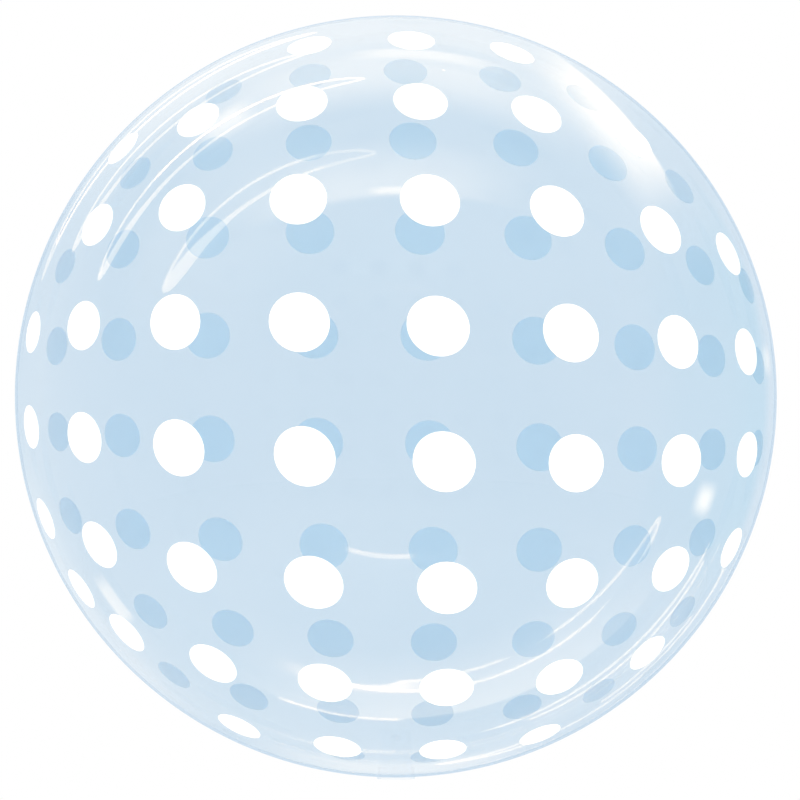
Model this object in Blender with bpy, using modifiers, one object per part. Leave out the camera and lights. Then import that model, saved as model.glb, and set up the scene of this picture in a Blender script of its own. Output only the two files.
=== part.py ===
"""A clear bubble balloon: two round film panels, welded at their rims and blown up to a ball.

Metres, +Z up. The front panel faces -Y, the weld lies in the XZ plane, and the origin is the foot of the
rim, where the neck is tied. The flat tail is folded back under the ball, and the two-ply valve lies along
the inside of the back panel. Walls are thicker than real film, so that each ply is a sound solid.
"""

from math import asin, cos, pi, sin

import bmesh
import bpy
from mathutils import Matrix, Vector

# The ball
RIM_RADIUS = 0.280  # from the ball's centre to the cut edge of the rim
RIM_WIDTH = 0.002  # flat lap where the two panels are welded
FILM_WALL = 0.0005  # wall of the panels and of the tail's plies
WELD_WALL = 0.0004  # melted film between two plies
MESH_GAP = 0.0003  # room between solids that touch
BALL_SIDES = 64  # facets round the ball
BALL_RINGS = 16  # rings of facets from a panel's middle to its rim

# The tail, which is the neck that the ball is filled through
TAIL_WIDTH = 0.028
TAIL_LENGTH = 0.075
TAIL_CORNER = 0.004  # rounded corners at its open end
TAIL_WELD_WIDTH = 0.003  # weld along each long edge
TAIL_ROOT = 0.0013  # from the fold to where the flat plies start

# The valve, a flat tube of two thin plies that leads from the neck into the ball
VALVE_WIDTH = 0.024
VALVE_LENGTH = 0.100  # along the curve of the back panel
VALVE_WALL = 0.0003
VALVE_START = 0.0025  # from the weld's plane to the valve's lower end
VALVE_STEPS = 12  # facets along the valve
TACK_RADIUS = 0.004  # spot that holds the valve to the back panel
TACK_WALL = 0.0005
TACK_FROM_END = 0.010  # from the valve's upper end to the spot's middle

# Sizes that follow from those above
CENTRE = Vector((0, 0, RIM_RADIUS))
FILM_RADIUS = RIM_RADIUS - RIM_WIDTH
FLANGE_HEIGHT = WELD_WALL / 2 + MESH_GAP + FILM_WALL  # from the weld's mid plane to a flange's outer face
STACK = 2 * FLANGE_HEIGHT  # two plies with their weld
MOUTH_ANGLE = asin((TAIL_WIDTH / 2 - TAIL_WELD_WIDTH) / RIM_RADIUS)  # half of the gap in the rim weld
FACET_SAG = 2 * FILM_RADIUS * (1 - cos(pi / BALL_SIDES))  # how far a facet's middle lies inside the ball
WIDTH_SAG = VALVE_WIDTH ** 2 / 8 / FILM_RADIUS  # how far the ball curves away across the valve
VALVE_RADIUS = FILM_RADIUS - FILM_WALL - FACET_SAG - WIDTH_SAG - 2 * MESH_GAP - TACK_WALL
INNER_PLY_RADIUS = VALVE_RADIUS - VALVE_WALL - MESH_GAP
FOLD_AXIS = Vector((0, 0, -FLANGE_HEIGHT - MESH_GAP))


def new_collection(name):
    """A collection in the scene."""
    collection = bpy.data.collections.new(name)
    bpy.context.scene.collection.children.link(collection)
    return collection


def film_material(name, colour, alpha, roughness):
    """A clear plastic film: tinted, glossy and partly see-through."""
    material = bpy.data.materials.new(name)
    material.use_nodes = True
    shader = material.node_tree.nodes["Principled BSDF"]
    shader.inputs["Base Color"].default_value = (*colour, 1)
    shader.inputs["Alpha"].default_value = alpha
    shader.inputs["Roughness"].default_value = roughness
    shader.inputs["Metallic"].default_value = 0
    return material


def add_piece(name, data, material):
    """One named piece of the balloon, with its material."""
    piece = bpy.data.objects.new(name, data)
    piece.data.materials.append(material)
    balloon.objects.link(piece)
    return piece


def line_mesh(name, points):
    """An open line of points, for a Screw modifier to turn."""
    mesh = bpy.data.meshes.new(name)
    mesh.from_pydata(points, [(i, i + 1) for i in range(len(points) - 1)], [])
    return mesh


def turn(piece, axis, angle, steps):
    """Sweeps a line round an axis through the piece's origin."""
    screw = piece.modifiers.new("turn", "SCREW")
    screw.axis = axis
    screw.angle = angle
    screw.steps = steps
    screw.render_steps = steps
    screw.use_merge_vertices = True
    screw.merge_threshold = 0.0001
    screw.use_smooth_shade = True


def thicken(piece, wall, offset):
    """Gives a surface its wall: offset -1 puts it behind the surface, 0 puts half on each side."""
    solidify = piece.modifiers.new("wall", "SOLIDIFY")
    solidify.thickness = wall
    solidify.offset = offset
    solidify.use_even_offset = True


def box_mesh(name, low, high):
    """A box between two corners."""
    size = Vector(high) - Vector(low)
    middle = (Vector(high) + Vector(low)) / 2
    shape = bmesh.new()
    bmesh.ops.create_cube(shape, size=1, matrix=Matrix.LocRotScale(middle, None, size))
    mesh = bpy.data.meshes.new(name)
    shape.to_mesh(mesh)
    shape.free()
    return mesh


def ring_point(radius, angle):
    """A point of the XY plane at an angle from +X."""
    return Vector((radius * cos(angle), radius * sin(angle), 0))


# Panels ---------------------------------------------------------------------------------------------------


def add_panel(name, turn_x, material):
    """Half of the ball with its half of the flat rim. Its own +Z runs through the panel's middle."""
    lowest = asin(FLANGE_HEIGHT / FILM_RADIUS)
    points = []
    for ring in range(BALL_RINGS + 1):
        angle = pi / 2 + (lowest - pi / 2) * ring / BALL_RINGS
        points.append((FILM_RADIUS * cos(angle) if ring else 0, 0, FILM_RADIUS * sin(angle)))
    points.append((RIM_RADIUS, 0, FLANGE_HEIGHT))
    panel = add_piece(name, line_mesh(name, points), material)
    turn(panel, "Z", 2 * pi, BALL_SIDES)
    thicken(panel, FILM_WALL, -1)
    panel.location = CENTRE
    panel.rotation_euler = (turn_x, 0, 0)
    return panel


def add_rim_weld(material):
    """The flat ring between the two panels' rims, open where the neck's mouth passes through."""
    start = -pi / 2 + MOUTH_ANGLE
    points = [ring_point(FILM_RADIUS, start), ring_point(RIM_RADIUS, start)]
    weld = add_piece("rim_weld", line_mesh("rim_weld", points), material)
    turn(weld, "Z", 2 * (pi - MOUTH_ANGLE), BALL_SIDES)
    thicken(weld, WELD_WALL, 0)
    weld.location = CENTRE
    weld.rotation_euler = (pi / 2, 0, 0)
    return weld


# Tail -----------------------------------------------------------------------------------------------------


def add_tail_ply(name, side, material):
    """A flat ply with two rounded corners at its open end. side is +1 above the weld and -1 below it."""
    half, end = TAIL_WIDTH / 2, TAIL_ROOT + TAIL_LENGTH
    outline = [(half, TAIL_ROOT), (half, end - TAIL_CORNER)]
    steps = 4
    for step in range(1, steps + 1):
        turned = ring_point(TAIL_CORNER, step * pi / 2 / steps)
        outline.append((half - TAIL_CORNER + turned.x, end - TAIL_CORNER + turned.y))
    outline += [(-x, y) for x, y in reversed(outline)]
    curve = bpy.data.curves.new(name, "CURVE")
    curve.dimensions = "2D"
    curve.fill_mode = "BOTH"
    curve.extrude = FILM_WALL / 2
    spline = curve.splines.new("POLY")
    spline.points.add(len(outline) - 1)
    for point, (x, y) in zip(spline.points, outline):
        point.co = (x, y, 0, 1)
    spline.use_cyclic_u = True
    ply = add_piece(name, curve, material)
    ply.location = (0, 0, side * (FLANGE_HEIGHT - FILM_WALL / 2))
    return ply


def add_tail_weld(name, side, material):
    """The weld along one long edge of the tail, between its plies. side is +1 at +X."""
    outer = side * TAIL_WIDTH / 2
    inner = side * (TAIL_WIDTH / 2 - TAIL_WELD_WIDTH)
    low = (min(outer, inner), TAIL_ROOT, -WELD_WALL / 2)
    high = (max(outer, inner), TAIL_ROOT + TAIL_LENGTH - TAIL_CORNER, WELD_WALL / 2)
    return add_piece(name, box_mesh(name, low, high), material)


# Valve ----------------------------------------------------------------------------------------------------


def valve_direction(radius, length):
    """The direction from the ball's centre to the point that far along the valve."""
    angle = asin(VALVE_START / radius) + length / radius
    return Vector((0, sin(angle), -cos(angle)))


def add_valve_ply(name, radius, material):
    """A strip that follows the back panel up from the neck. Its origin is the ball's centre."""
    foot = valve_direction(radius, 0) * radius
    points = [foot + Vector((VALVE_WIDTH / 2, 0, 0)), foot - Vector((VALVE_WIDTH / 2, 0, 0))]
    ply = add_piece(name, line_mesh(name, points), material)
    turn(ply, "X", VALVE_LENGTH / radius, VALVE_STEPS)
    thicken(ply, VALVE_WALL, -1)
    ply.location = CENTRE
    return ply


def add_valve_tack(material):
    """The round spot between the valve's outer ply and the back panel."""
    shape = bmesh.new()
    bmesh.ops.create_cone(
        shape, cap_ends=True, segments=24, radius1=TACK_RADIUS, radius2=TACK_RADIUS, depth=TACK_WALL
    )
    mesh = bpy.data.meshes.new("valve_tack_weld")
    shape.to_mesh(mesh)
    shape.free()
    tack = add_piece("valve_tack_weld", mesh, material)
    outward = valve_direction(VALVE_RADIUS, VALVE_LENGTH - TACK_FROM_END)
    tack.location = CENTRE + outward * (VALVE_RADIUS + MESH_GAP + TACK_WALL / 2)
    tack.rotation_euler = outward.to_track_quat("Z", "Y").to_euler()
    return tack


def hang_on_axis(name, place, pieces):
    """An empty on a joint's axis, which carries the pieces that move with it."""
    axis = bpy.data.objects.new(name, None)
    axis.empty_display_size = TAIL_WIDTH / 2
    axis.location = place
    balloon.objects.link(axis)
    for piece in pieces:
        piece.parent = axis


for old in list(bpy.data.objects):
    bpy.data.objects.remove(old, do_unlink=True)

balloon = new_collection("bubble_balloon")
film = film_material("blue_tinted_film", (0.72, 0.85, 0.93), 0.35, 0.06)
weld_film = film_material("welded_film", (0.74, 0.86, 0.94), 0.5, 0.2)
valve_film = film_material("clear_valve_film", (0.85, 0.92, 0.96), 0.25, 0.15)

add_panel("front_panel", pi / 2, film)
add_panel("back_panel", -pi / 2, film)
add_rim_weld(weld_film)

# Folded back, the tail's front ply is its lower one.
hang_on_axis(
    "tail_fold_axis",
    FOLD_AXIS,
    [
        add_tail_ply("tail_front_ply", -1, film),
        add_tail_ply("tail_back_ply", 1, film),
        add_tail_weld("tail_edge_weld_left", -1, weld_film),
        add_tail_weld("tail_edge_weld_right", 1, weld_film),
    ],
)

add_valve_ply("valve_outer_ply", VALVE_RADIUS, valve_film)
add_valve_tack(weld_film)
inner_ply = add_valve_ply("valve_inner_ply", INNER_PLY_RADIUS, valve_film)
flap_axis = CENTRE + valve_direction(INNER_PLY_RADIUS, 0) * INNER_PLY_RADIUS
inner_ply.location = CENTRE - flap_axis
hang_on_axis("valve_flap_axis", flap_axis, [inner_ply])
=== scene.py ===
"""The looks of a clear bubble balloon: tinted film, printed dots, welded rim, folded tail and inner valve."""

from math import asin, atan, atan2, cos, exp, hypot, pi, radians, sin, sqrt, tan

import bpy
from mathutils import Matrix, Vector


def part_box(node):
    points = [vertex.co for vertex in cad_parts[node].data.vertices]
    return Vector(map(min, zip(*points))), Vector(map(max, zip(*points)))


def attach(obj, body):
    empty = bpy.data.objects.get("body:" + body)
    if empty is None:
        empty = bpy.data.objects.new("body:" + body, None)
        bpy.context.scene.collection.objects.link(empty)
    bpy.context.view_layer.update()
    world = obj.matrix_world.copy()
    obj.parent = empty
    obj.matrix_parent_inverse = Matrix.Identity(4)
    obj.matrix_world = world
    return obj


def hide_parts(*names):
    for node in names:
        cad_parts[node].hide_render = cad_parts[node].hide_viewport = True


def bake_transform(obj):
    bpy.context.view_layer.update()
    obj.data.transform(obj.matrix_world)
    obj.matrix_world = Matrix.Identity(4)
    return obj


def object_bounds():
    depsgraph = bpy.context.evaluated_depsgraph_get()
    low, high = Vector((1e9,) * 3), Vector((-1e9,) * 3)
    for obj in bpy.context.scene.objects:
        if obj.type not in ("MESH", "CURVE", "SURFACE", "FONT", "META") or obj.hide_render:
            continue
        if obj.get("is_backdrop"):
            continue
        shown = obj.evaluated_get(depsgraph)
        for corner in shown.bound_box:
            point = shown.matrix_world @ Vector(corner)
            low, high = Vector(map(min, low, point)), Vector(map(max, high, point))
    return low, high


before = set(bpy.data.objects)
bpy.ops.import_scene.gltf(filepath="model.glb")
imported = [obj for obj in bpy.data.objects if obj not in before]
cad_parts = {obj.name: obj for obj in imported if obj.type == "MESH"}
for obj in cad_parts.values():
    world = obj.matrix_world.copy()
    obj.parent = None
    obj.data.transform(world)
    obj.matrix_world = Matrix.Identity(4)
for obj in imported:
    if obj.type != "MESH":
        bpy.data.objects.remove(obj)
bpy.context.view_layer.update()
bpy.ops.object.select_all(action="DESELECT")

# ---- Film panels -----------------------------------------------------------------------------------------
# Two round sheets of clear stretch film, tinted a cold pale blue and blown out to half a ball each.
# Each ends in a narrow flat lap. The film beside the weld stretches least, so it draws up in fine puckers.

rim_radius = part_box("front_panel")[1].x
film_radius = -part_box("front_panel")[0].y
ball_centre = Vector((0, 0, rim_radius))
film_wall = 0.0003
ball_segments = 256  # faces round each panel, and half as many from front to back
lap_height = 0.00045  # from the weld's mid plane to the outer face of a lap
lap_fillet = 0.0012
pucker_depth = 0.00022
pucker_reach = 0.012  # how far the puckers run up from the weld
pucker_waves = ((47, 0.5, 0.3), (71, 0.3, 1.9), (103, 0.2, 4.1))  # waves round the rim, share, start

film_ior = 1.5
mirror_most = 0.16  # a wall mirrors no more than this at any angle, so that the ball's outline stays blue
film_tint = (0.8825, 0.929, 0.9655, 1)  # what one face of the wall lets through
film_thick_tint = (0.874, 0.924, 0.9625, 1)  # the same where the film stretched less
lap_tint = (0.985, 0.991, 0.996, 1)
lap_thick_tint = (0.982, 0.989, 0.995, 1)
film_haze = 0.004  # the share of light that each face of a wall scatters
peel_height = 0.00001  # of the fine orange peel that blown film has


def choose(piece):
    """Makes a piece the only selected and the active one."""
    bpy.ops.object.select_all(action="DESELECT")
    piece.select_set(True)
    bpy.context.view_layer.objects.active = piece


def finish_shading(piece, angle=40):
    """Smooth faces with crisp edges past an angle."""
    choose(piece)
    bpy.ops.object.shade_smooth_by_angle(angle=radians(angle))
    piece.select_set(False)


def apply_modifiers(piece):
    """Applies all of a piece's modifiers in order."""
    choose(piece)
    for modifier in list(piece.modifiers):
        bpy.ops.object.modifier_apply(modifier=modifier.name)
    piece.select_set(False)


def settle(piece):
    """Puts a piece's place, turn and size into its mesh."""
    choose(piece)
    bpy.ops.object.transform_apply(location=True, rotation=True, scale=True)
    piece.select_set(False)


def thicken(piece, wall, offset):
    """Gives a sheet its wall: offset -1 puts it behind the sheet, 0 half on each side."""
    solid = piece.modifiers.new("wall", "SOLIDIFY")
    solid.thickness = wall
    solid.offset = offset
    solid.use_even_offset = True
    apply_modifiers(piece)


def blank_material(name):
    """A material with nothing but its output, and short names for adding nodes and links."""
    material = bpy.data.materials.new(name)
    material.use_nodes = True
    tree = material.node_tree
    tree.nodes.clear()
    out = tree.nodes.new("ShaderNodeOutputMaterial")
    return material, out, tree.nodes.new, tree.links.new


def film_grain_group():
    """Blown film's own marks: slow changes of thickness, a fine orange peel and a little haze."""
    group = bpy.data.node_groups.new("film_grain", "ShaderNodeTree")
    socket = group.interface.new_socket
    socket("Patch Scale", in_out="INPUT", socket_type="NodeSocketFloat").default_value = 5
    socket("Peel Scale", in_out="INPUT", socket_type="NodeSocketFloat").default_value = 45
    socket("Peel Height", in_out="INPUT", socket_type="NodeSocketFloat").default_value = 0.00001
    socket("Thickness", in_out="OUTPUT", socket_type="NodeSocketFloat")
    socket("Roughness", in_out="OUTPUT", socket_type="NodeSocketFloat")
    socket("Normal", in_out="OUTPUT", socket_type="NodeSocketVector")
    node, link = group.nodes.new, group.links.new
    given, out = node("NodeGroupInput"), node("NodeGroupOutput")
    place = node("ShaderNodeTexCoord")
    patches = node("ShaderNodeTexNoise")
    patches.inputs["Detail"].default_value = 3
    link(place.outputs["Object"], patches.inputs["Vector"])
    link(given.outputs["Patch Scale"], patches.inputs["Scale"])
    even = node("ShaderNodeMapRange")
    even.interpolation_type = "SMOOTHSTEP"
    even.inputs["From Min"].default_value = 0.35
    even.inputs["From Max"].default_value = 0.65
    link(patches.outputs["Fac"], even.inputs["Value"])
    link(even.outputs["Result"], out.inputs["Thickness"])
    rough = node("ShaderNodeMapRange")
    rough.inputs["To Min"].default_value = 0.02
    rough.inputs["To Max"].default_value = 0.05
    link(patches.outputs["Fac"], rough.inputs["Value"])
    link(rough.outputs["Result"], out.inputs["Roughness"])
    peel = node("ShaderNodeTexNoise")
    peel.inputs["Detail"].default_value = 2
    link(place.outputs["Object"], peel.inputs["Vector"])
    link(given.outputs["Peel Scale"], peel.inputs["Scale"])
    bump = node("ShaderNodeBump")
    bump.inputs["Strength"].default_value = 1
    link(given.outputs["Peel Height"], bump.inputs["Distance"])
    link(peel.outputs["Fac"], bump.inputs["Height"])
    link(bump.outputs["Normal"], out.inputs["Normal"])
    return group


film_grain = film_grain_group()


def film_shader(name, tint, thick_tint, haze, peel, mirror=1):
    """Clear film: each face tints what is behind it, and each wall mirrors the room once, by its angle.
    mirror is less than 1 on the plies of the neck, the tail and the valve, to keep them faint."""
    material, out, node, link = blank_material(name)
    grain = node("ShaderNodeGroup")
    grain.node_tree = film_grain
    grain.inputs["Peel Height"].default_value = peel
    colour = node("ShaderNodeMix")
    colour.data_type = "RGBA"
    colour.inputs["A"].default_value = tint
    colour.inputs["B"].default_value = thick_tint
    link(grain.outputs["Thickness"], colour.inputs["Factor"])
    clear = node("ShaderNodeBsdfTransparent")
    link(colour.outputs["Result"], clear.inputs["Color"])
    scatter = node("ShaderNodeBsdfTranslucent")
    scatter.inputs["Color"].default_value = (0.95, 0.97, 1, 1)
    body = node("ShaderNodeMixShader")
    body.inputs[0].default_value = haze
    link(clear.outputs[0], body.inputs[1])
    link(scatter.outputs[0], body.inputs[2])
    gloss = node("ShaderNodeBsdfAnisotropic")
    gloss.inputs["Color"].default_value = (1, 1, 1, 1)
    link(grain.outputs["Roughness"], gloss.inputs["Roughness"])
    link(grain.outputs["Normal"], gloss.inputs["Normal"])
    fresnel = node("ShaderNodeFresnel")
    fresnel.inputs["IOR"].default_value = film_ior
    link(grain.outputs["Normal"], fresnel.inputs["Normal"])
    geometry = node("ShaderNodeNewGeometry")
    outer = node("ShaderNodeMath")
    outer.operation = "SUBTRACT"
    outer.inputs[0].default_value = 1
    link(geometry.outputs["Backfacing"], outer.inputs[1])
    share = node("ShaderNodeMath")
    share.operation = "MULTIPLY"
    link(fresnel.outputs[0], share.inputs[0])
    link(outer.outputs[0], share.inputs[1])
    capped = node("ShaderNodeMath")
    capped.operation = "MINIMUM"
    capped.inputs[1].default_value = mirror_most
    link(share.outputs[0], capped.inputs[0])
    plies = node("ShaderNodeMath")
    plies.operation = "MULTIPLY"
    plies.inputs[1].default_value = mirror
    link(capped.outputs[0], plies.inputs[0])
    mix = node("ShaderNodeMixShader")
    link(plies.outputs[0], mix.inputs[0])
    link(body.outputs[0], mix.inputs[1])
    link(gloss.outputs[0], mix.inputs[2])
    link(mix.outputs[0], out.inputs["Surface"])
    return material


ball_film = film_shader("blue_clear_film", film_tint, film_thick_tint, film_haze, peel_height)
lap_film = film_shader("pressed_lap_film", lap_tint, lap_thick_tint, film_haze, peel_height)


def half_ball(name, side):
    """Half a ball of film with its lap. side is -1 for the front panel and +1 for the back one."""
    bpy.ops.mesh.primitive_uv_sphere_add(
        segments=ball_segments,
        ring_count=ball_segments // 2,
        radius=film_radius,
        location=ball_centre,
        rotation=(pi / 2, 0, 0),
    )
    panel = bpy.context.active_object
    panel.name = name
    settle(panel)
    choose(panel)
    bpy.ops.object.mode_set(mode="EDIT")
    bpy.ops.mesh.select_all(action="SELECT")
    bpy.ops.mesh.bisect(plane_co=(0, side * lap_height, 0), plane_no=(0, side, 0), clear_inner=True)
    bpy.ops.mesh.select_all(action="DESELECT")
    bpy.ops.mesh.select_mode(type="EDGE")
    bpy.ops.mesh.select_non_manifold(extend=False)
    bpy.ops.mesh.extrude_region_move()
    grow = rim_radius / film_radius
    bpy.ops.transform.resize(value=(grow, 1, grow), center_override=ball_centre)
    bpy.ops.mesh.select_all(action="SELECT")
    bpy.ops.mesh.normals_make_consistent(inside=False)
    bpy.ops.object.mode_set(mode="OBJECT")
    corner = panel.modifiers.new("corner", "BEVEL")
    corner.width = lap_fillet
    corner.segments = 3
    corner.limit_method = "ANGLE"
    corner.angle_limit = radians(60)
    apply_modifiers(panel)
    for vertex in panel.data.vertices:
        place = vertex.co - ball_centre
        height = abs(place.y) - lap_height
        bearing = atan2(place.z, place.x)
        ruck = sum(share * sin(count * bearing + start) for count, share, start in pucker_waves)
        depth = pucker_depth * exp(-height / pucker_reach) * min(1, height / lap_fillet)
        across = Vector((place.x, 0, place.z)).normalized()
        vertex.co += across * ruck * depth
    thicken(panel, film_wall, -1)
    finish_shading(panel)
    panel.data.materials.append(ball_film)
    panel.data.materials.append(lap_film)
    for face in panel.data.polygons:
        place = face.center - ball_centre
        on_lap = hypot(place.x, place.z) > film_radius and abs(place.y) < lap_height + film_wall
        face.material_index = 1 if on_lap else 0
    return panel


for name, node_name, side in (("front_film", "front_panel", -1), ("back_film", "back_panel", 1)):
    panel = half_ball(name, side)
    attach(panel, "ball")
    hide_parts(node_name)

# ---- Rim weld --------------------------------------------------------------------------------------------
# The two laps are fused by a hot ring, which leaves a flat bead of melted film between them.
# The ring's fine teeth stay in it as cross ribs. It is open at the bottom, where the neck comes in.

bead_half = 0.00013  # half of the bead's thickness on a rib
bead_dip = 0.35  # how far the hollows between ribs sink, as a share of that
bead_ribs = 600
faces_a_rib = 4
bead_sides = 8
mouth_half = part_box("tail_edge_weld_right")[0].x

weld_tint = (0.985, 0.990, 0.995, 1)
weld_thick_tint = (0.975, 0.985, 0.992, 1)
weld_haze = 0.04
weld_film = film_shader("fused_film", weld_tint, weld_thick_tint, weld_haze, 2 * peel_height)


def rib(count):
    """1 on a rib and less between two. count runs one unit from rib to rib."""
    return 1 - bead_dip * (0.5 + 0.5 * cos(2 * pi * count)) ** 2


bpy.ops.mesh.primitive_torus_add(
    major_segments=faces_a_rib * bead_ribs,
    minor_segments=bead_sides,
    major_radius=(rim_radius + film_radius) / 2,
    minor_radius=(rim_radius - film_radius) / 2,
    location=ball_centre,
    rotation=(pi / 2, 0, 0),
)
bead = bpy.context.active_object
bead.name = "rim_bead"
settle(bead)
flatten = bead_half / ((rim_radius - film_radius) / 2)
for vertex in bead.data.vertices:
    place = vertex.co - ball_centre
    vertex.co.y *= flatten * rib(atan2(place.z, place.x) / (2 * pi) * bead_ribs)
choose(bead)
bpy.ops.object.mode_set(mode="EDIT")
bpy.ops.mesh.select_mode(type="VERT")
bpy.ops.mesh.select_all(action="DESELECT")
bpy.ops.object.mode_set(mode="OBJECT")
for vertex in bead.data.vertices:
    vertex.select = abs(vertex.co.x) < mouth_half and vertex.co.z < rim_radius
bpy.ops.object.mode_set(mode="EDIT")
bpy.ops.mesh.delete(type="VERT")
bpy.ops.mesh.select_all(action="SELECT")
bpy.ops.mesh.fill_holes(sides=bead_sides)
bpy.ops.mesh.normals_make_consistent(inside=False)
bpy.ops.object.mode_set(mode="OBJECT")
finish_shading(bead, 60)
bead.data.materials.append(weld_film)
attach(bead, "ball")
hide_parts("rim_weld")

# ---- Printed dots ----------------------------------------------------------------------------------------
# Round spots of opaque white ink, printed in rows on the outside of each sheet while it lies flat.
# Blown up, the rows lean a little. Each spot has a column and a row, counted from one near the middle.

dot_share = 0.226  # a dot's radius as a share of the step between rows
dot_sides = 32
dot_rings = 4  # rings of faces from a dot's edge to its middle
ink_lift = 0.00006  # from the film's outer face to the ink
ink_wall = 0.00008
print_rows = 6  # rows and columns each way, before those past the printed area are left out
ink_see_through = 0.15  # the share of light that shines through the ink
print_draw_in = 0.0105  # how much less the film stretches towards the rim, which draws the print in there
sheets = {
    "front_dots": dict(
        side=-1,
        along=(0.0912, -0.0031),  # step to the next dot of a row, across and up
        up=(-0.0039, 0.0882),  # step to the next row
        first=(-0.0693, 0.0529),  # a dot near the middle
        area=(0, 0, 0.357),  # middle and radius of the printed area
        stray=((-2.6, -2.7),),  # column and row of any dot off the rows
        turned=(0.9, 1.25),  # degrees that the sheet's middle sits off the ball's axis, up and round
    ),
    "back_dots": dict(
        side=1,
        along=(0.0939, -0.0023),
        up=(-0.0038, 0.0901),
        first=(-0.0782, 0.0419),
        area=(0.008, -0.020, 0.407),
        stray=(),
        turned=(2.2, -1.84),
    ),
}

white_ink, out, node, link = blank_material("white_ink")
place = node("ShaderNodeTexCoord")
cover = node("ShaderNodeTexNoise")
cover.inputs["Scale"].default_value = 900
cover.inputs["Detail"].default_value = 3
link(place.outputs["Object"], cover.inputs["Vector"])
shade = node("ShaderNodeMix")
shade.data_type = "RGBA"
shade.inputs["A"].default_value = (0.955, 0.955, 0.955, 1)
shade.inputs["B"].default_value = (0.985, 0.985, 0.985, 1)
link(cover.outputs["Fac"], shade.inputs["Factor"])
grit = node("ShaderNodeBump")
grit.inputs["Strength"].default_value = 0.3
grit.inputs["Distance"].default_value = 0.00001
link(cover.outputs["Fac"], grit.inputs["Height"])
paint = node("ShaderNodeBsdfPrincipled")
paint.inputs["Roughness"].default_value = 0.45
paint.inputs["Specular IOR Level"].default_value = 0.3
link(shade.outputs["Result"], paint.inputs["Base Color"])
link(grit.outputs["Normal"], paint.inputs["Normal"])
shine_through = node("ShaderNodeBsdfTranslucent")
link(shade.outputs["Result"], shine_through.inputs["Color"])
mix = node("ShaderNodeMixShader")
mix.inputs[0].default_value = ink_see_through
link(paint.outputs[0], mix.inputs[1])
link(shine_through.outputs[0], mix.inputs[2])
link(mix.outputs[0], out.inputs["Surface"])


def flat_dot():
    """A round spot with rings of faces, so that it can bend to the ball. One unit is a step between rows."""
    bpy.ops.mesh.primitive_circle_add(vertices=dot_sides, radius=dot_share, fill_type="NGON")
    dot = bpy.context.active_object
    choose(dot)
    bpy.ops.object.mode_set(mode="EDIT")
    bpy.ops.mesh.select_all(action="SELECT")
    for ring in range(dot_rings - 1):
        bpy.ops.mesh.inset(thickness=dot_share / dot_rings)
    bpy.ops.mesh.poke()
    bpy.ops.object.mode_set(mode="OBJECT")
    return dot


def print_dots(name, side, along, up, first, area, stray, turned):
    """All dots of one panel, laid out flat, wrapped round the ball and given the ink's thickness."""
    along, up, first = Vector(along), Vector(up), Vector(first)
    pattern = flat_dot()
    spots = list(stray)
    for row in range(-print_rows, print_rows + 1):
        for column in range(-print_rows, print_rows + 1):
            middle = first + along * column + up * row
            if (middle - Vector(area[:2])).length < area[2]:
                spots.append((column, row))
    copies = []
    for column, row in spots:
        copy = bpy.data.objects.new(name, pattern.data.copy())
        copy.location = (column, row, 0)
        bpy.context.scene.collection.objects.link(copy)
        copies.append(copy)
    bpy.data.objects.remove(pattern)
    choose(copies[0])
    for copy in copies:
        copy.select_set(True)
    bpy.ops.object.join()
    dots = bpy.context.active_object
    dots.name = name
    settle(dots)
    turn = Matrix.Rotation(radians(turned[1]), 3, "Z") @ Matrix.Rotation(radians(turned[0]), 3, "X")
    for vertex in dots.data.vertices:
        sheet = (first + along * vertex.co.x + up * vertex.co.y) / film_radius
        away = sheet.length * (1 - print_draw_in * sheet.length ** 4)
        reach = sin(away) / sheet.length
        place = Vector((sheet.x * reach, side * cos(away), sheet.y * reach))
        vertex.co = ball_centre + (turn @ place) * (film_radius + ink_lift)
    if side > 0:
        dots.data.flip_normals()
    thicken(dots, ink_wall, 1)
    finish_shading(dots)
    dots.data.materials.append(white_ink)
    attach(dots, "ball")


for name, sheet in sheets.items():
    print_dots(name, **sheet)

# ---- Neck and tail ---------------------------------------------------------------------------------------
# The panels run on through the mouth in the rim as two narrow plies, the neck, which ends in the tail.
# Welded along both edges and slack between them, it is folded back under the ball and held by its crease.

tail_low, tail_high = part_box("tail_front_ply")[0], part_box("tail_back_ply")[1]
fold_height = (tail_low.z + tail_high.z) / 2
tail_half = tail_high.x
tail_root = tail_low.y
tail_end = tail_high.y
tail_corner = tail_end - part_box("tail_edge_weld_right")[1].y
ply_wall = 0.0002
ply_wave = 0.00012  # height of the slow waves along the tail
ply_slack = tail_high.z - fold_height - ply_wall / 2 - ply_wave  # from the fold's level to a slack ply
ply_edge = 0.00026  # the same on the welds
pinch_rise = 2.2  # how steeply a ply leaves its welds, and how full it stands between them
pinch_fullness = 0.8
tail_waves = ((210, 1, 1), (97, 0.6, -2))  # radians per metre of tail, share, lean across
ply_columns = 28
tail_rows = 90
neck_rows = 12

neck_haze = 0.002
neck_mirror = 0.35
neck_thick_tint = (0.98, 0.988, 0.995, 1)
neck_clear = film_shader("clear_neck_film", lap_tint, neck_thick_tint, neck_haze, peel_height, neck_mirror)


def film_strip(name, half_width, columns, rows, place):
    """A strip of film. place gives the point for a share across, -1 to 1, and a share along, 0 to 1."""
    bpy.ops.mesh.primitive_grid_add(x_subdivisions=columns, y_subdivisions=rows, size=2)
    strip = bpy.context.active_object
    strip.name = name
    for vertex in strip.data.vertices:
        across, along = vertex.co.x, (vertex.co.y + 1) / 2
        vertex.co = Vector((half_width * across, *place(across, along)))
    return strip


def pinch(across):
    """How far a ply stands off the fold's level: close at its welded edges and slack between them."""
    inside = max(0, 1 - (across * tail_half / mouth_half) ** 2)
    return ply_edge + (ply_slack - ply_edge) * min(1, pinch_rise * inside) ** pinch_fullness


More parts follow.
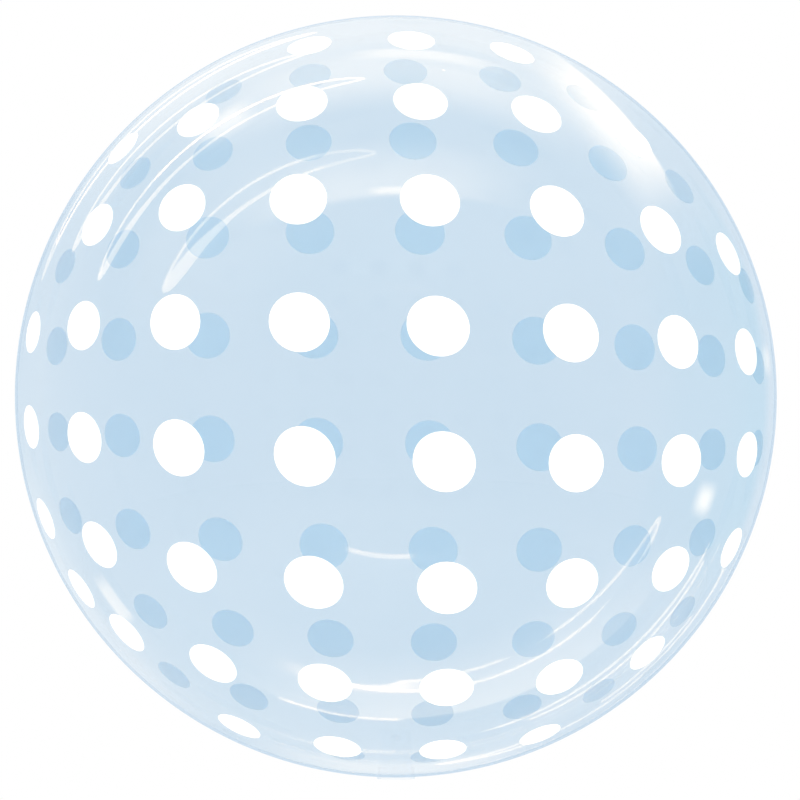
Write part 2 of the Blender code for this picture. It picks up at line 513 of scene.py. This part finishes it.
def wave_lift(forward, across):
    """How far the tail's slow waves lift it, growing from none at its root to its open end."""
    along = (forward - tail_root) / (tail_end - tail_root)
    waves = sum(share * sin(count * forward + lean * across) for count, share, lean in tail_waves)
    return ply_wave * along * waves


def tail_sheet(side):
    """The shape of one ply of the tail. side is -1 for the front ply, which lies lower."""

    def place(across, along):
        forward = tail_root + (tail_end - tail_root) * along
        return forward, fold_height + side * pinch(across) + wave_lift(forward, across)

    return place


def round_end(ply):
    """Rounds the two corners at the tail's open end."""
    start = tail_end - tail_corner
    for vertex in ply.data.vertices:
        past = max(0, vertex.co.y - start)
        trim = tail_corner - sqrt(max(0, tail_corner ** 2 - past ** 2))
        vertex.co.x *= (tail_half - trim) / tail_half


def make_film(piece, wall, film):
    """Gives a strip its wall, smooth faces and its film."""
    thicken(piece, wall, 0)
    finish_shading(piece)
    piece.data.materials.append(film)


for name, node_name, side in (
    ("tail_front_film", "tail_front_ply", -1),
    ("tail_back_film", "tail_back_ply", 1),
):
    ply = film_strip(name, tail_half, ply_columns, tail_rows, tail_sheet(side))
    round_end(ply)
    make_film(ply, ply_wall, neck_clear)
    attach(ply, "tail")
    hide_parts(node_name)

seal_half = 0.00014  # half of a seal's thickness on a rib
seal_ribs = 58
for node_name in ("tail_edge_weld_left", "tail_edge_weld_right"):
    low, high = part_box(node_name)
    middle, half = (low.x + high.x) / 2, (high.x - low.x) / 2
    bpy.ops.mesh.primitive_grid_add(x_subdivisions=2, y_subdivisions=faces_a_rib * seal_ribs, size=2)
    seal = bpy.context.active_object
    seal.name = node_name.replace("weld", "seal")
    for vertex in seal.data.vertices:
        along = (vertex.co.y + 1) / 2
        forward = low.y + (high.y - low.y) * along
        vertex.co = Vector((middle + half * vertex.co.x, forward, fold_height))
    thicken(seal, 2 * seal_half, 0)
    for vertex in seal.data.vertices:
        along = (vertex.co.y - low.y) / (high.y - low.y)
        lift = (vertex.co.z - fold_height) * rib(along * seal_ribs)
        vertex.co.z = fold_height + lift + wave_lift(vertex.co.y, vertex.co.x / tail_half)
    finish_shading(seal, 60)
    seal.data.materials.append(weld_film)
    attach(seal, "tail")
    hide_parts(node_name)

neck_gap = 0.0003  # from the weld's plane to where a neck ply leaves its lap
neck_bulge = 0.0009  # how far the front ply's fold stands out round the crease
neck_lean = 0.0001  # how far the back ply leans on its way down to the crease


def neck_sheet(side):
    """The shape of one ply of the neck, from its lap down and back round the crease to the tail."""

    def place(across, along):
        end = Vector((tail_root, fold_height + side * pinch(across)))
        start = Vector((side * neck_gap, lap_height))
        if side > 0:
            out_point = Vector((start.x + neck_lean, end.y))
        else:
            out_point = Vector((-2 * neck_bulge, fold_height - pinch(across)))
        point = start * (1 - along) ** 2 + 2 * out_point * along * (1 - along) + end * along ** 2
        return point.x, point.y

    return place


for name, side in (("neck_front_film", -1), ("neck_back_film", 1)):
    neck = film_strip(name, tail_half, ply_columns, neck_rows, neck_sheet(side))
    make_film(neck, ply_wall, neck_clear)
    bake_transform(neck)

# ---- Valve -----------------------------------------------------------------------------------------------
# A flat tube of two thin clear plies runs from the neck up the inside of the back panel. Gas opens it on
# the way in and presses it shut after. A welded spot near its end holds it to the panel.

valve_tint = (0.995, 0.997, 0.999, 1)
valve_thick_tint = (0.992, 0.995, 0.998, 1)
valve_haze = 0.001
valve_mirror = 0.2
valve_clear = film_shader(
    "clear_valve_film", valve_tint, valve_thick_tint, valve_haze, peel_height, valve_mirror
)
valve_wall = 0.00012
valve_curl = 0.0006  # how far the loose end of the inner ply lifts
curl_start = 0.8  # where along the ply that begins, as a share
valve_seal = 0.0022  # welded line along each long edge
seal_ripple = 0.00006  # height of the ripples along that line
ripple_turns = 260  # radians of ripple from end to end
valve_columns = 44
valve_rows = 160
tack_gap = 0.00005  # left at each face of the tack, measured to the true round of the ply and the panel
tack_sides = 48
tack_corner = 0.0004
valve_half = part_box("valve_outer_ply")[1].x


def valve_sheet(node_name, curl):
    """The shape of a valve ply: an arc inside the back panel, with a sealed line along each edge."""
    low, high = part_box(node_name)
    radius = hypot(low.y, rim_radius - low.z) - valve_wall / 2
    first, last = asin(low.y / radius), asin(high.y / radius)

    def place(across, along):
        angle = first + (last - first) * along
        edge = max(0, 1 - (1 - abs(across)) * valve_half / valve_seal)
        ripple = seal_ripple * sin(along * ripple_turns) * min(1, 2 * edge)
        lift = curl * (max(0, along - curl_start) / (1 - curl_start)) ** 2
        reach = radius + ripple - lift
        return reach * sin(angle), rim_radius - reach * cos(angle)

    return place


for name, node_name, body, curl in (
    ("valve_outer_film", "valve_outer_ply", "ball", 0),
    ("valve_inner_film", "valve_inner_ply", "valve_flap", valve_curl),
):
    ply = film_strip(name, valve_half, valve_columns, valve_rows, valve_sheet(node_name, curl))
    make_film(ply, valve_wall, valve_clear)
    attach(ply, body)
    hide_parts(node_name)

tack_low, tack_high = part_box("valve_tack_weld")
tack_middle = (tack_low + tack_high) / 2
tack_out = (tack_middle - ball_centre).normalized()
outer_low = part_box("valve_outer_ply")[0]
tack_inner = hypot(outer_low.y, rim_radius - outer_low.z) + tack_gap
tack_outer = film_radius - film_wall - tack_gap
bpy.ops.mesh.primitive_cylinder_add(
    vertices=tack_sides,
    radius=tack_high.x,
    depth=tack_outer - tack_inner,
    location=ball_centre + tack_out * (tack_inner + tack_outer) / 2,
    rotation=tack_out.to_track_quat("Z", "Y").to_euler(),
)
tack = bpy.context.active_object
tack.name = "valve_tack"
settle(tack)
corner = tack.modifiers.new("corner", "BEVEL")
corner.width = tack_corner
corner.segments = 3
corner.limit_method = "ANGLE"
apply_modifiers(tack)
finish_shading(tack)
tack.data.materials.append(weld_film)
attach(tack, "ball")
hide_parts("valve_tack_weld")

# ---- Studio ----------------------------------------------------------------------------------------------
# A white room with a pale floor, soft lights on all sides and, round the ball, the soft boxes and bent
# tubes that its film mirrors. Each of those is placed by where its glint falls on the ball.

room_reach = {"front": 2.7, "far": 3.0, "net": 2.85}  # from the ball's centre to what each wall mirrors
lowest_light = -1.0  # just above the floor
lamp_colours = {"front": (1, 0.69, 0.38, 1), "far": (1, 0.52, 0.23, 1)}  # warm: glints on blue come out white
wall_crossings = 3.5  # light mirrored by the near wall crosses fewer faces than this, by the far wall more

floor_height = -1.1
floor_radius = 4
floor_shade = 0.90
floor_fade = (2.2, 3.9)  # the floor melts into the white room between these distances from its middle

bpy.ops.mesh.primitive_circle_add(
    vertices=96, radius=floor_radius, fill_type="NGON", location=(0, 0, floor_height)
)
floor = bpy.context.active_object
floor.name = "floor"
floor_paint, out, node, link = blank_material("pale_floor")
place = node("ShaderNodeTexCoord")
away = node("ShaderNodeVectorMath")
away.operation = "LENGTH"
link(place.outputs["Object"], away.inputs[0])
fade = node("ShaderNodeMapRange")
fade.interpolation_type = "SMOOTHSTEP"
fade.inputs["From Min"].default_value = floor_fade[0]
fade.inputs["From Max"].default_value = floor_fade[1]
link(away.outputs["Value"], fade.inputs["Value"])
matt = node("ShaderNodeBsdfPrincipled")
matt.inputs["Base Color"].default_value = (floor_shade, floor_shade, floor_shade, 1)
matt.inputs["Roughness"].default_value = 0.8
beyond = node("ShaderNodeBsdfTransparent")
mix = node("ShaderNodeMixShader")
link(fade.outputs["Result"], mix.inputs[0])
link(matt.outputs[0], mix.inputs[1])
link(beyond.outputs[0], mix.inputs[2])
link(mix.outputs[0], out.inputs["Surface"])
floor.data.materials.append(floor_paint)
floor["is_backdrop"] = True

world = bpy.data.worlds.new("white_room")
bpy.context.scene.world = world
world.use_nodes = True
world.node_tree.nodes["Background"].inputs["Color"].default_value = (1, 1, 1, 1)
world.node_tree.nodes["Background"].inputs["Strength"].default_value = 1.0

lens = 136
sensor = 36
camera_place = Vector((0.0030, -2.222, -0.0026))  # from the ball's centre
camera_data = bpy.data.cameras.new("camera")
camera_data.lens = lens
camera_data.sensor_width = sensor
camera = bpy.data.objects.new("camera", camera_data)
camera.location = ball_centre + camera_place
camera.rotation_euler = (pi / 2, 0, 0)
bpy.context.scene.collection.objects.link(camera)
bpy.context.scene.camera = camera


def studio_light(name, place, size, energy, colour):
    """A round soft light that faces the ball and isn't mirrored in its film."""
    data = bpy.data.lights.new(name, "AREA")
    data.shape = "DISK"
    data.size = size
    data.energy = energy
    data.color = colour
    light = bpy.data.objects.new(name, data)
    light.location = ball_centre + Vector(place)
    light.rotation_euler = (-Vector(place)).to_track_quat("-Z", "Y").to_euler()
    light.visible_glossy = False
    light.visible_camera = False
    bpy.context.scene.collection.objects.link(light)


key_colour = (1, 0.90, 0.60)
fill_colour = (1, 0.94, 0.80)
studio_light("key_light", (0, -2.6, 0), 1.6, 18, key_colour)
studio_light("left_fill", (-2.4, -0.6, 0), 1.6, 13, fill_colour)
studio_light("right_fill", (2.4, -0.6, 0), 1.6, 13, fill_colour)
studio_light("top_fill", (0, -0.6, 2.4), 1.6, 13, fill_colour)
studio_light("low_fill", (0, -1.6, -1.2), 1.2, 12, fill_colour)
studio_light("back_fill", (0, 2.6, 0.4), 1.6, 4, fill_colour)


def lit_from(wall, share, bearing):
    """The place in the room that a spot of the ball mirrors to the camera, on its near wall ("front", or
    "net" for what hangs behind those lights) or on the inside of its far wall ("far").
    share is the spot's distance from the middle of the ball's outline, 1 on the outline itself, and
    bearing its angle from straight up, clockwise."""
    distance = (camera.location - ball_centre).length
    outline = tan(asin(film_radius / distance))
    off = atan(share * outline)
    bearing = radians(bearing)
    ray = Vector((sin(off) * sin(bearing), cos(off), sin(off) * cos(bearing)))
    start = ball_centre + Vector((0, -distance, 0))
    nearest = (ball_centre - start).dot(ray)
    half_chord = sqrt(max(0, film_radius ** 2 - (ball_centre - start).length_squared + nearest ** 2))
    spot = start + ray * (nearest + (half_chord if wall == "far" else -half_chord))
    normal = (spot - ball_centre).normalized()
    bounce = ray - 2 * ray.dot(normal) * normal
    outward = (spot - ball_centre).dot(bounce)
    travel = -outward + sqrt(outward ** 2 + room_reach[wall] ** 2 - film_radius ** 2)
    if bounce.z < 0:
        travel = min(travel, (lowest_light - spot.z) / bounce.z)
    return spot + bounce * travel


def shown_by(node, link, wall):
    """1 where a light is mirrored by the wall it is for, else 0."""
    path = node("ShaderNodeLightPath")
    flag = node("ShaderNodeMath")
    flag.operation = "GREATER_THAN" if wall == "far" else "LESS_THAN"
    flag.inputs[1].default_value = wall_crossings
    link(path.outputs["Transparent Depth"], flag.inputs[0])
    return flag.outputs[0]


def times(node, link, first, second):
    """The product of two sockets, or of a socket and a number."""
    product = node("ShaderNodeMath")
    product.operation = "MULTIPLY"
    link(first, product.inputs[0])
    if isinstance(second, (int, float)):
        product.inputs[1].default_value = second
    else:
        link(second, product.inputs[1])
    return product.outputs[0]


def faded(node, link, mask, soft):
    """The mask with fading edges, as shares of the sheet: the low and high side of U, then of V."""
    place = node("ShaderNodeTexCoord")
    axes = node("ShaderNodeSeparateXYZ")
    link(place.outputs["UV"], axes.inputs[0])
    for axis, low_edge, high_edge in ((0, soft[0], soft[1]), (1, soft[2], soft[3])):
        for start, end in ((0, low_edge), (1, 1 - high_edge)):
            ramp = node("ShaderNodeMapRange")
            ramp.interpolation_type = "SMOOTHSTEP"
            ramp.inputs["From Min"].default_value = start
            ramp.inputs["From Max"].default_value = end
            link(axes.outputs[axis], ramp.inputs["Value"])
            mask = times(node, link, mask, ramp.outputs["Result"])
    return mask


def glow_material(name, wall, brightness, soft=None):
    """Light that only one wall of the ball mirrors, with fading edges if soft is given."""
    material, out, node, link = blank_material(name)
    material.cycles.emission_sampling = "NONE"
    mask = shown_by(node, link, wall)
    if soft:
        mask = faded(node, link, mask, soft)
    glow = node("ShaderNodeEmission")
    glow.inputs["Color"].default_value = lamp_colours[wall]
    link(times(node, link, mask, brightness), glow.inputs["Strength"])
    clear = node("ShaderNodeBsdfTransparent")
    add = node("ShaderNodeAddShader")
    link(clear.outputs[0], add.inputs[0])
    link(glow.outputs[0], add.inputs[1])
    link(add.outputs[0], out.inputs["Surface"])
    return material


def net_material(name, wall, tint, soft):
    """A tinted net that holds back part of the white room, with fading edges."""
    material, out, node, link = blank_material(name)
    mask = faded(node, link, shown_by(node, link, wall), soft)
    shade = node("ShaderNodeMix")
    shade.data_type = "RGBA"
    shade.inputs["A"].default_value = (1, 1, 1, 1)
    shade.inputs["B"].default_value = tint
    link(mask, shade.inputs["Factor"])
    net = node("ShaderNodeBsdfTransparent")
    link(shade.outputs["Result"], net.inputs["Color"])
    link(net.outputs[0], out.inputs["Surface"])
    return material


def hide_light(light):
    """A light of the room shows only where the film mirrors it."""
    light.visible_camera = False
    light.visible_diffuse = False
    light.visible_transmission = False
    light.visible_shadow = False
    light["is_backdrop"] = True


tube_steps = 96
swell_turn = 3.8  # where round its hoop a tube swells, and over how much of it, both in radians
swell_spread = 0.55
swell_height = 2.4  # how much thicker it is there, and thinner elsewhere
swell_loss = 0.4


def bent_tube(name, wall, share, half_share, bearing, half_bearing, thickness, brightness, swell=0, lean=0):
    """A thin tube of light bent to a long narrow hoop. swell makes its inner branch thicker at one end, and
    lean brings the other end nearer to the middle."""
    curve = bpy.data.curves.new(name, "CURVE")
    curve.dimensions = "3D"
    curve.bevel_depth = thickness
    curve.bevel_resolution = 2
    spline = curve.splines.new("POLY")
    spline.points.add(tube_steps - 1)
    for step, point in enumerate(spline.points):
        turn = 2 * pi * step / tube_steps
        out_share = share + half_share * sin(turn) - lean * cos(turn)
        place = lit_from(wall, out_share, bearing + half_bearing * cos(turn))
        point.co = (*place, 1)
        bump = exp(-((turn - swell_turn) / swell_spread) ** 2)
        point.radius = 1 + swell * (swell_height * bump - swell_loss)
    spline.use_cyclic_u = True
    tube = bpy.data.objects.new(name, curve)
    bpy.context.scene.collection.objects.link(tube)
    curve.materials.append(glow_material(name, wall, brightness / 2))  # both sides of a tube add up
    hide_light(tube)


share_most = 0.999  # just inside the outline, where a spot still mirrors the room


def soft_sheet(name, wall, shares, bearings, material, bow=0, lean=0):
    """A curved sheet. U runs along the bearing, V outwards. bow lifts both ends and lean one more than
    the other."""
    bpy.ops.mesh.primitive_grid_add(x_subdivisions=24, y_subdivisions=12, size=1, calc_uvs=True)
    box = bpy.context.active_object
    box.name = name
    inner, outer = asin(shares[0]), asin(shares[1])
    for vertex in box.data.vertices:
        across, out_share = vertex.co.x + 0.5, vertex.co.y + 0.5
        end = 2 * across - 1
        share = min(share_most, sin(inner + (outer - inner) * out_share) + bow * end ** 2 + lean * end)
        vertex.co = lit_from(wall, share, bearings[0] + (bearings[1] - bearings[0]) * across)
    box.data.materials.append(material)
    hide_light(box)


def soft_box(name, wall, shares, bearings, brightness, soft, bow=0, lean=0):
    """A sheet of light with fading edges."""
    soft_sheet(name, wall, shares, bearings, glow_material(name, wall, brightness, soft), bow, lean)


bent_tube("near_tube_1", "front", 0.655, 0.020, -35, 30, 0.038, 4.8, 0.9, 0.014)
bent_tube("near_tube_2", "front", 0.838, 0.014, -37, 31, 0.032, 3.6, 0.6)
bent_tube("near_tube_3", "front", 0.930, 0.010, -40, 25, 0.040, 1.6, 0.3)
bent_tube("near_tube_4", "front", 0.978, 0.006, -42, 28, 0.054, 1.2)
bent_tube("far_tube_1", "far", 0.762, 0.018, 152, 37, 0.036, 8.5)
bent_tube("far_tube_2", "far", 0.913, 0.007, 140, 26, 0.044, 5.0)
bent_tube("far_tube_3", "far", 0.972, 0.005, 143, 27, 0.055, 3.6)

soft_box("side_box", "front", (0.80, 0.955), (20, 58), 3.5, (0.5, 0.4, 0.55, 0.08), 0, -0.055)
soft_box("top_haze", "front", (0.74, 0.955), (-48, 48), 2.3, (0.35, 0.4, 0.35, 0.6))
soft_box("top_edge", "front", (0.90, 0.999), (-66, 52), 1.15, (0.3, 0.3, 0.4, 0.15))
soft_box("top_band", "front", (0.882, 0.916), (-10, 22), 1.2, (0.3, 0.5, 0.4, 0.3))
soft_box("top_crescent", "front", (0.515, 0.70), (-48, 40), 3.4, (0.4, 0.4, 0.12, 0.85), 0.08)
soft_box("top_streak", "front", (0.524, 0.556), (-9, 19), 4.8, (0.2, 0.1, 0.5, 0.4))
soft_box("left_veil", "front", (0.35, 0.80), (-88, 5), 0.6, (0.4, 0.4, 0.4, 0.2))
soft_box("low_bowl", "front", (0.64, 0.850), (116, 218), 1.8, (0.4, 0.4, 0.75, 0.05))
soft_box("low_streak", "far", (0.412, 0.428), (172, 200), 11.0, (0.15, 0.15, 0.3, 0.3))
soft_box("low_band", "far", (0.740, 0.785), (170, 206), 10.0, (0.3, 0.4, 0.4, 0.4))
soft_box("low_line", "far", (0.844, 0.853), (178, 202), 9.0, (0.1, 0.1, 0.3, 0.3))
soft_box("low_rim", "front", (0.945, 0.997), (154, 206), 1.0, (0.4, 0.4, 0.45, 0.4))
soft_box("left_rim", "front", (0.930, 0.999), (205, 275), 0.6, (0.3, 0.5, 0.6, 0.3))
soft_box("left_wedge", "front", (0.895, 0.932), (229, 240), 1.6, (0.2, 0.4, 0.2, 0.3))
soft_box("left_spot", "front", (0.80, 0.885), (-39, -25), 2.6, (0.4, 0.4, 0.4, 0.4))
soft_box("right_spot", "front", (0.820, 0.884), (104.5, 112.5), 4.6, (0.45, 0.45, 0.45, 0.45))
soft_box("edge_spot", "front", (0.962, 0.990), (81, 87.5), 1.2, (0.45, 0.45, 0.45, 0.45))
net_tint = (0.42, 0.75, 0.89, 1)
right_net = net_material("right_net", "net", net_tint, (0.3, 0.3, 0.3, 0.15))
soft_sheet("right_net", "net", (0.62, 0.985), (50, 130), right_net)

bpy.context.scene.view_settings.view_transform = "Standard"
bpy.context.scene.cycles.transparent_max_bounces = 24

low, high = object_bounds()
